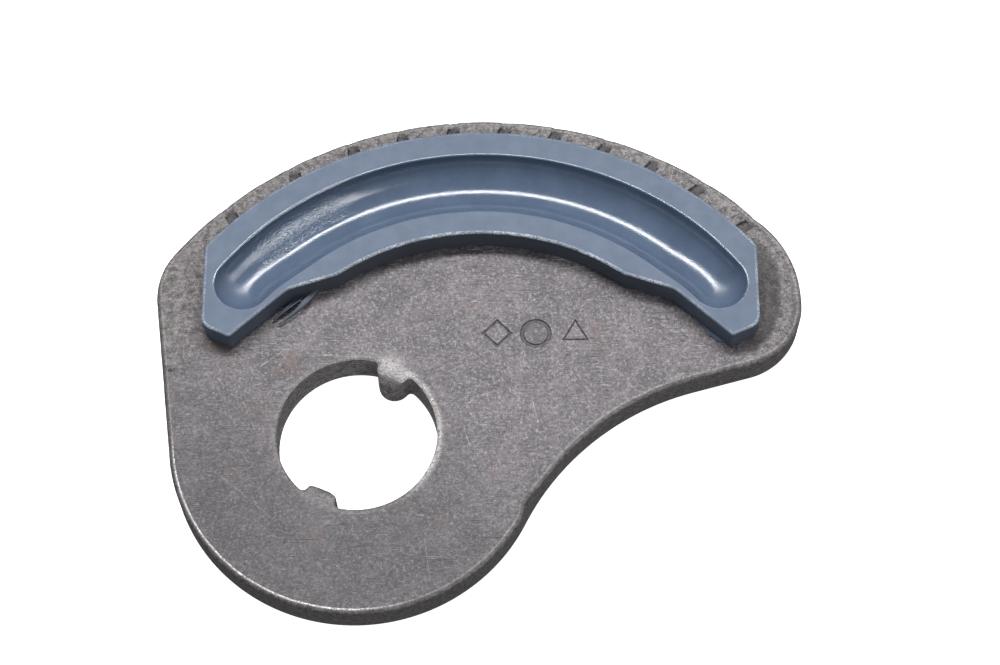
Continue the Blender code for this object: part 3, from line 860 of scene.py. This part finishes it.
def top_and_sinks(plan):
    """Height of the forging's top, and how deep slots, groove, nicks and marks cut into it."""
    from_arc = lengths(plan - ARC_CENTRE)
    forged = smooth_step(82.0, 90.0, from_arc)
    height = PLATE_TOP - 0.06 + 0.05 * noise_at(plan, 14.0, 1.0)
    height += forged * (0.10 * noise_at(plan, 3.4, 2.0) - 0.06)

    past_ridge, beside = tip_relief(plan)
    ridge = RIDGE_HEIGHT * np.exp(-(past_ridge / 1.1) ** 2)
    channel = -CHANNEL_DEPTH * smooth_step(-1.0, -4.5, past_ridge)
    lip = -RIDGE_FALL * smooth_step(1.2, 4.5, past_ridge)
    height += beside * (ridge + channel + lip - TIP_DROP)
    height = np.minimum(height, PLATE_TOP)

    sinks = np.zeros(len(plan))
    slot_wear = 1 + 0.15 * noise_at(plan, 2.0, 4.0)
    for middle, axis in slot_frames():
        near = lengths(plan - middle) < SLOT_LENGTH
        box = rectangle(middle, axis, SLOT_LENGTH / 2, SLOT_WIDTH / 2)
        from_rim = (plan[near] - middle) @ axis + SLOT_LENGTH / 2
        run_out = 0.15 + 0.85 * smooth_step(0.0, SLOT_RAMP, from_rim)
        cut = sunk(distance_to_loop(plan[near], box), SLOT_DEPTH, SLOT_WALL)
        sinks[near] = np.maximum(sinks[near], cut * run_out * slot_wear[near])
    bearing = np.arctan2(plan[:, 1] - ARC_CENTRE[1], plan[:, 0] - ARC_CENTRE[0])
    groove = np.abs(from_arc - COIL_RADIUS)
    for side in (-1, 1):
        end = ARC_CENTRE + COIL_RADIUS * direction(math.pi / 2 + side * KEEL_HALF_ANGLE)
        past = (bearing - math.pi / 2) * side > KEEL_HALF_ANGLE
        groove = np.where(past, lengths(plan - end), groove)
    groove = np.where(bearing < -math.pi / 2, COIL_RADIUS, groove)
    groove -= KEEL_WIDTH / 2 + SEAT_GAP
    sinks = np.maximum(sinks, sunk(groove, KEEL_DEPTH, SLOT_WALL))
    for start, end, half_width, depth in NICKS:
        sinks = np.maximum(sinks, sunk(distance_to_line(plan, start, end) - half_width, depth, half_width))
    for x, sides in zip(MARK_ROW_X, MARK_SIDES):
        near = lengths(plan - np.array([x, MARK_ROW_Y])) < 2 * MARK_SIZE
        outer = distance_to_loop(plan[near], mark_loop(x, sides, MARK_SIZE))
        inner = distance_to_loop(plan[near], mark_loop(x, sides, MARK_SIZE - MARK_STROKE))
        sinks[near] = np.maximum(sinks[near], sunk(np.maximum(outer, -inner), MARK_DEPTH, MARK_WALL))
    return height, sinks


def top_of_plate(plan):
    """Height of the plate's top with everything that is sunk in it."""
    height, sinks = top_and_sinks(plan)
    return height - sinks


def grime(plan):
    """Painted shade: where the steel is darkened, in slots and marks, in the channel at the tip and on the
    slope outside its ridge.
    """
    _, sinks = top_and_sinks(plan)
    past_ridge, beside = tip_relief(plan)
    channel = smooth_step(-0.6, -2.2, past_ridge)
    outside = 0.7 * smooth_step(1.0, 2.4, past_ridge)
    return np.maximum(smooth_step(0.1, 0.35, sinks), beside * np.maximum(channel, outside))


def feature_lines():
    """Loops that the top sheet's triangles follow: the rims and feet of slots, groove and marks."""
    lines = []
    for middle, axis in slot_frames():
        for inward in (0.0, SLOT_WALL / 2, SLOT_WALL):
            short = SLOT_LINE_MARGIN / 2
            box = rectangle(
                middle + axis * short, axis, SLOT_LENGTH / 2 - inward - short, SLOT_WIDTH / 2 - inward)
            lines.append(even_loop([box], 1.0))
    for inward in (0.0, SLOT_WALL / 2, SLOT_WALL):
        lines.append(arc_slot(KEEL_WIDTH / 2 + SEAT_GAP - inward, KEEL_HALF_ANGLE, 1.0))
    for x, sides in zip(MARK_ROW_X, MARK_SIDES):
        slant = math.cos(math.pi / sides)
        for inward in (0.0, MARK_WALL / 2, MARK_WALL):
            outer = mark_loop(x, sides, MARK_SIZE - inward / slant)
            inner = mark_loop(x, sides, MARK_SIZE - MARK_STROKE + inward / slant)
            lines += [even_loop([outer], 0.9), even_loop([inner], 0.9)]
    return lines


def forged_share(plan):
    """Where the surface is as forged, 1, or worn smooth, 0."""
    from_arc = lengths(plan - ARC_CENTRE)
    lean = 0.045 * (plan - ARC_CENTRE)[:, 0]
    return smooth_step(79.0, 88.0, from_arc + lean + 3.0 * noise_at(plan, 9.0, 6.0))


def lug_wear(plan):
    """Bright wear on the lead-in of the lug at the back."""
    return 0.75 * np.exp(-(lengths(plan - LUG_FACET) / LUG_WEAR_REACH) ** 2)


def bore_edge_wear(plan):
    """Bright wear around the bore, most of it on the right and at the lug at the back."""
    from_bore = lengths(plan)
    right = plan @ direction(math.radians(5.0)) / np.maximum(from_bore, 1.0)
    side = 0.10 + 0.48 * smooth_step(0.35, 0.90, right)
    ring = 1 - smooth_step(BORE_RADIUS + 0.4, BORE_RADIUS + 2.0, from_bore)
    return np.maximum(side * ring, 0.6 * lug_wear(plan))


def build_plate():
    """The forged plate, from its underside up its edge, over its top and down through the bore."""
    shell = Shell()
    outline = plate_outline()
    out = outward_normals(outline)
    quarter = np.radians([0, 22, 45, 68, 90])
    # Painted shade: the wall mark darkens the edge's walls, most where they face the front, away from the
    # key light.
    shade = 0.25 + 0.75 * smooth_step(0.3, -0.3, out[:, 1])

    def edge_ring(inset, height, edge=0.0, forged=1.0, wall=1.0):
        ring = outline - out * np.reshape(inset, (-1, 1))
        return shell.add(ring, height, as_forged=forged, edge=edge, wall=wall * shade)

    dent = np.exp(-(lengths(outline - DENT_CENTRE) / DENT_REACH) ** 2)
    wavy = RIM_WAVE * (1 + np.clip(noise_at(outline, 7.0, 11.0), -1, 1)) + DENT_DEPTH * dent
    top_start = outline - out * (EDGE_ROUNDING + EDGE_STRIP + wavy[:, None])
    top_height = top_of_plate(top_start)
    top_forged = forged_share(top_start)
    bearing = np.degrees(np.arctan2(outline[:, 1], outline[:, 0])) % 360
    front = smooth_step(178.0, 192.0, bearing) * smooth_step(292.0, 268.0, bearing)
    line_wear = (0.22 + 0.78 * front) * (1 - dent)
    rings = []
    for angle in quarter:
        inset = FOOT_INSET + EDGE_ROUNDING * (1 - math.sin(angle))
        rings.append(edge_ring(inset, EDGE_ROUNDING * (1 - math.cos(angle))))
    wall_heights = np.arange(2.0, PLATE_TOP - 2.6, 0.8)
    for height in wall_heights:
        place = np.column_stack((outline, np.full(len(outline), height)))
        share = smooth_step(wall_heights[0] - 1, wall_heights[-1] + 1, height)
        hollow = WALL_HOLLOW * (1 + np.clip(noise_at(place, 3.6, 12.0), -0.9, 1))
        rings.append(edge_ring(hollow * (1 - share) + (hollow + wavy) / 2 * share, height))
    for angle in quarter[::-1]:
        inset = wavy + EDGE_ROUNDING * (1 - math.sin(angle))
        drop = EDGE_ROUNDING * (1 - math.cos(angle))
        share = math.sin(angle)
        worn = line_wear * smooth_step(0.45, 0.0, share)
        rings.append(edge_ring(
            inset, top_height - drop, edge=worn, forged=share ** 2 + (1 - share ** 2) * top_forged,
            wall=smooth_step(0.05, 0.5, share)))
    rings.append(shell.add(top_start, top_height, as_forged=top_forged))
    shell.stack(rings)

    void = bore_outline()
    crease_top = PLATE_TOP - LEAD_IN_DEPTH

    def bore_ring(height, widen):
        """The void's outline at a height, clipped to the lead-in cone above the lugs' noses."""
        if height >= crease_top:
            least = LUG_NOSE + LEAD_IN_WIDTH * (height - crease_top) / LEAD_IN_DEPTH
        elif height > crease_top - CREASE_HEIGHT:
            least = LUG_NOSE + CREASE_DEPTH
        else:
            least = 0.0
        radius = lengths(void)
        soft = np.hypot(radius - least, LUG_SOFTNESS)
        ring = void * ((radius + least + soft) / (2 * radius))[:, None]
        return ring + outward_normals(ring) * widen

    top_loop = bore_ring(PLATE_TOP, BORE_EDGE)
    bore_rings = [shell.add(top_loop, top_of_plate(top_loop), edge=bore_edge_wear(top_loop))]
    mid_loop = bore_ring(PLATE_TOP - BORE_LIP, BORE_LIP)
    bore_rings.append(shell.add(mid_loop, PLATE_TOP - 0.22, edge=bore_edge_wear(mid_loop)))
    for height in [PLATE_TOP - BORE_EDGE, *BORE_HEIGHTS, BORE_EDGE]:
        loop = bore_ring(height, 0.0)
        near_top = 0.5 if height > PLATE_TOP - 1.0 else 0.0
        at_lug = lug_wear(loop) * smooth_step(crease_top, PLATE_TOP - 2.0, height)
        worn = np.maximum(near_top * bore_edge_wear(loop), at_lug)
        bore_rings.append(shell.add(loop, height, as_forged=1.0, edge=worn))
    bottom_loop = bore_ring(0.0, BORE_EDGE)
    bore_rings.append(shell.add(bore_ring(BORE_LIP, BORE_LIP), BORE_LIP, as_forged=0.5))
    bore_rings.append(shell.add(bottom_loop, 0.0))
    shell.stack(bore_rings)

    shell.sheet(
        [top_start, top_loop], feature_lines(), MEDIUM, top_of_plate,
        as_forged=forged_share, edge=bore_edge_wear, grime=grime)
    bottom_start = outline - out * (EDGE_ROUNDING + FOOT_INSET)
    shell.sheet([bottom_start, bottom_loop], [], 2.5, 0.0, as_forged=0.6)
    plate = shell.build("forged_plate")
    plate.data.materials.append(steel_material())
    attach(plate, "plate")
    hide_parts("spring_plate")
    return plate


# ------------ the insert

def trough_ring(half_width):
    """A ring round the trough from its half width at each tube radius, and the radius at each point."""
    bearings = math.pi / 2 + np.linspace(-TROUGH_HALF_ANGLE, TROUGH_HALF_ANGLE, 181)
    share = smooth_step(TAPER_START, TROUGH_HALF_ANGLE, np.abs(bearings - math.pi / 2))
    radius = TROUGH_RADIUS - TAPER * share
    distance = COIL_RADIUS + TAPER_SHIFT * share
    wide = half_width(radius)
    outward = directions(bearings)
    turns = np.linspace(0, math.pi, 29)[1:-1]

    def cap(end, first):
        angles = first + turns
        middle = ARC_CENTRE + distance[end] * outward[end]
        return middle + wide[end] * directions(angles)

    outer = ARC_CENTRE + (distance + wide)[:, None] * outward
    inner = ARC_CENTRE + (distance - wide)[:, None] * outward
    plan = np.vstack((
        cap(0, bearings[0] - math.pi), outer, cap(-1, bearings[-1]), inner[::-1]))
    ends = np.full(len(turns), radius[0])
    return plan, np.concatenate((ends, radius, ends, radius[::-1]))


def trough_slope(radius, share):
    """Angle below level of a line along the tube: share 0 is under the rim, 1 the lowest line."""
    first = np.arcsin((TROUGH_RISE + RIM_DROP) / radius)
    return first + (math.pi / 2 - first) * share


def inner_lip(plan):
    """1 on the insert's side towards the bore, 0 on its outer side."""
    return smooth_step(-2.0, 2.0, INSERT_INNER_RADIUS + 4.0 - lengths(plan - ARC_CENTRE))


def build_insert():
    """The moulded insert: keel and underside, side walls, rounded lips and the coil's trough."""
    shell = Shell()
    outline = insert_outline()
    out = outward_normals(outline)
    inner_side = inner_lip(outline)
    nibble = 0.10 * np.clip(noise_at(outline, 1.6, 21.0), 0, 1) * inner_side
    at_ends = smooth_step(67.0, 71.0, np.abs(outline[:, 0] - ARC_CENTRE[0]))
    wear = np.maximum(0.25 + 0.75 * inner_side, 0.6 * at_ends)

    def ring(inset, height, edge=0.0, wall=0.0):
        plan = outline - out * np.reshape(inset, (-1, 1))
        return shell.add(plan, height, edge=edge, wall=wall)

    # Painted shade: the wall mark darkens the side walls and foot, most on the side towards the bore, which
    # faces away from the key light.
    shaded = 0.45 + 0.55 * inner_side
    rings = [
        ring(INSERT_FOOT, INSERT_UNDERSIDE, wall=shaded),
        ring(FOOT_MIDDLE, INSERT_UNDERSIDE + FOOT_MIDDLE, wall=shaded)]
    for height in np.linspace(INSERT_UNDERSIDE + INSERT_FOOT, INSERT_TOP - INSERT_EDGE, 7):
        rings.append(ring(0.0, height, wall=shaded))
    for angle in np.radians([25, 45, 65, 90]):
        inset = nibble + INSERT_EDGE * (1 - math.cos(angle))
        rings.append(ring(
            inset, INSERT_TOP - INSERT_EDGE * (1 - math.sin(angle)), wear, shaded * math.cos(angle)))
    rings.append(ring(nibble + INSERT_EDGE + FLAT_STRIP, INSERT_TOP, 0.8 * wear))
    flat_start = nibble + INSERT_EDGE + 2 * FLAT_STRIP
    rings.append(ring(flat_start, INSERT_TOP))
    shell.stack(rings)
    top_start = outline - out * flat_start[:, None]

    trough = []
    for wide, drop, polish in RIM_PROFILE:
        loop, _ = trough_ring(lambda radius: np.sqrt(radius ** 2 - TROUGH_RISE ** 2) + wide)
        if not trough:
            trough_rim = loop
        trough.append(shell.add(loop, INSERT_TOP - drop, polish=polish))
    for share in np.linspace(0, 1, 38):
        loop, radius = trough_ring(lambda radius: radius * np.cos(trough_slope(radius, share)))
        from_arc = lengths(loop - ARC_CENTRE)
        bearing = np.degrees(np.arctan2(loop[:, 1] - ARC_CENTRE[1], loop[:, 0] - ARC_CENTRE[0]))
        peel = smooth_step(*PEEL_START, bearing) * smooth_step(*PEEL_END, bearing)
        peel *= smooth_step(0.8, 2.2, from_arc - COIL_RADIUS)
        past = np.abs(bearing - 90.0) - math.degrees(TROUGH_HALF_ANGLE)
        polish = 1 - 0.8 * smooth_step(-2.5, 2.0, past)
        height = TROUGH_CENTRE_Z - radius * np.sin(trough_slope(radius, share))
        trough.append(shell.add(loop, height, polish=polish, peel=peel))
    shell.stack(trough)

    shell.sheet([top_start, trough_rim], [], 1.4, INSERT_TOP)
    keel_top = arc_slot(KEEL_WIDTH / 2, KEEL_HALF_ANGLE)
    keel_ring = shell.add(keel_top, INSERT_UNDERSIDE)
    keel_edge = shell.add(keel_top, KEEL_LOW + KEEL_BEVEL)
    keel_bottom = arc_slot(KEEL_WIDTH / 2 - KEEL_BEVEL, KEEL_HALF_ANGLE)
    keel_foot = shell.add(keel_bottom, KEEL_LOW)
    shell.stack([keel_ring, keel_edge, keel_foot])
    shell.sheet([keel_bottom], [], 3.0, KEEL_LOW)
    shell.sheet([outline - out * INSERT_FOOT, keel_top], [], 3.0, INSERT_UNDERSIDE)

    insert = shell.build("moulded_insert")
    insert.data.materials.append(plastic_material())
    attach(insert, "insert")
    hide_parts("coil_insert")
    return insert


# ------------ torn plastic at the insert's foot

def smooth_path(points, steps):
    """A Catmull-Rom curve through points in space."""
    points = np.asarray(points, float)
    padded = np.vstack((2 * points[0] - points[1], points, 2 * points[-1] - points[-2]))
    path = []
    for a, b, c, d in zip(padded, padded[1:], padded[2:], padded[3:]):
        for t in np.linspace(0, 1, steps, endpoint=False):
            path.append(0.5 * (2 * b + (c - a) * t + (2 * a - 5 * b + 4 * c - d) * t ** 2
                               + (3 * b - a - 3 * c + d) * t ** 3))
    return np.array(path + [points[-1]])


def ribbon(name, points, width, thickness, twist, material):
    """A curled, tapering ribbon of torn plastic, closed at both ends."""
    path = smooth_path(points, 8)
    sides = 8
    mesh = bpy.data.meshes.new(name)
    vertices = []
    for number, place in enumerate(path):
        share = number / (len(path) - 1)
        along = unit(path[min(number + 1, len(path) - 1)] - path[max(number - 1, 0)])
        across = unit(np.cross(along, (0.0, 0.0, 1.0)))
        over = np.cross(across, along)
        turn = twist * share
        wide = across * math.cos(turn) + over * math.sin(turn)
        thin = over * math.cos(turn) - across * math.sin(turn)
        taper = 0.25 + 0.75 * math.sin(math.pi * min(0.95, 0.12 + 0.88 * share))
        for side in range(sides):
            angle = 2 * math.pi * side / sides
            vertices.append(
                place + wide * math.cos(angle) * width / 2 * taper + thin * math.sin(angle) * thickness / 2)
    faces = [tuple(range(sides))[::-1], tuple(len(vertices) - sides + k for k in range(sides))]
    for number in range(len(path) - 1):
        for side in range(sides):
            a = number * sides + side
            b = number * sides + (side + 1) % sides
            faces.append((a, b, b + sides, a + sides))
    mesh.from_pydata([Vector(v) * MM for v in vertices], [], faces)
    mesh.shade_smooth()
    mesh.materials.append(material)
    # Painted shade: the shavings are darkened by the wall mark.
    shade = mesh.attributes.new("wall", "FLOAT", "POINT")
    shade.data.foreach_set("value", np.full(len(vertices), 0.6, np.float32))
    shaving = put_in_scene(name, mesh)
    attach(shaving, "insert")


# Points along each shaving, its width, thickness and twist
SHAVINGS = [
    ([(-42.0, 20.4, 12.6), (-45.2, 16.0, 13.4), (-48.4, 12.4, 12.8), (-53.0, 8.9, 11.9)], 1.7, 0.50, 1.6),
    ([(-44.4, 20.4, 12.4), (-47.6, 16.2, 12.7), (-50.8, 12.9, 13.0), (-54.4, 10.2, 12.1)], 1.5, 0.45, -1.8),
    ([(-46.0, 19.4, 12.2), (-49.2, 15.4, 12.2), (-51.8, 12.6, 12.3), (-53.9, 10.6, 12.0)], 1.1, 0.40, 1.0),
]


FLAKE_OUTLINE = [
    (56.6, 11.6), (58.3, 9.3), (59.1, 9.2), (59.6, 8.1), (60.6, 6.9), (60.9, 5.7),
    (61.9, 5.3), (63.2, 4.1), (65.4, 3.7), (66.2, 4.6), (63.4, 7.0), (60.2, 10.0)]
FLAKE_LOW = PLATE_TOP + 0.12


def build_flash(material):
    """A thin torn flake pressed out from under the insert's toe."""
    outline = even_loop([np.array(FLAKE_OUTLINE)], FINE) - SHIFT
    shell = Shell()

    def height(plan):
        return INSERT_UNDERSIDE + 0.22 + 0.14 * noise_at(plan, 1.2, 31.0)

    upper = shell.add(outline, height(outline))
    lower = shell.add(outline, FLAKE_LOW)
    shell.strip(lower, upper)
    shell.sheet([outline], [], 0.4, height)
    shell.sheet([outline], [], MEDIUM, FLAKE_LOW)
    flake = shell.build("torn_flash", 60.0)
    flake.data.materials.append(material)
    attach(flake, "insert")


# ------------ the scene

add_camera()
add_world()
add_floor()
add_softbox("top_softbox", azimuth=92.0, elevation=69.5, distance=0.75, size=(0.70, 0.11), watts=7.2)
reflector = add_softbox(
    "side_reflector", azimuth=-40.0, elevation=36.0, distance=1.2, size=(0.60, 0.62), watts=15.0)
reflector.visible_diffuse = False
build_plate()
insert = build_insert()
plastic = insert.data.materials[0]
for number, (points, width, thickness, twist) in enumerate(SHAVINGS):
    ribbon(f"torn_shaving_{number + 1}", points, width, thickness, twist, plastic)
build_flash(plastic)
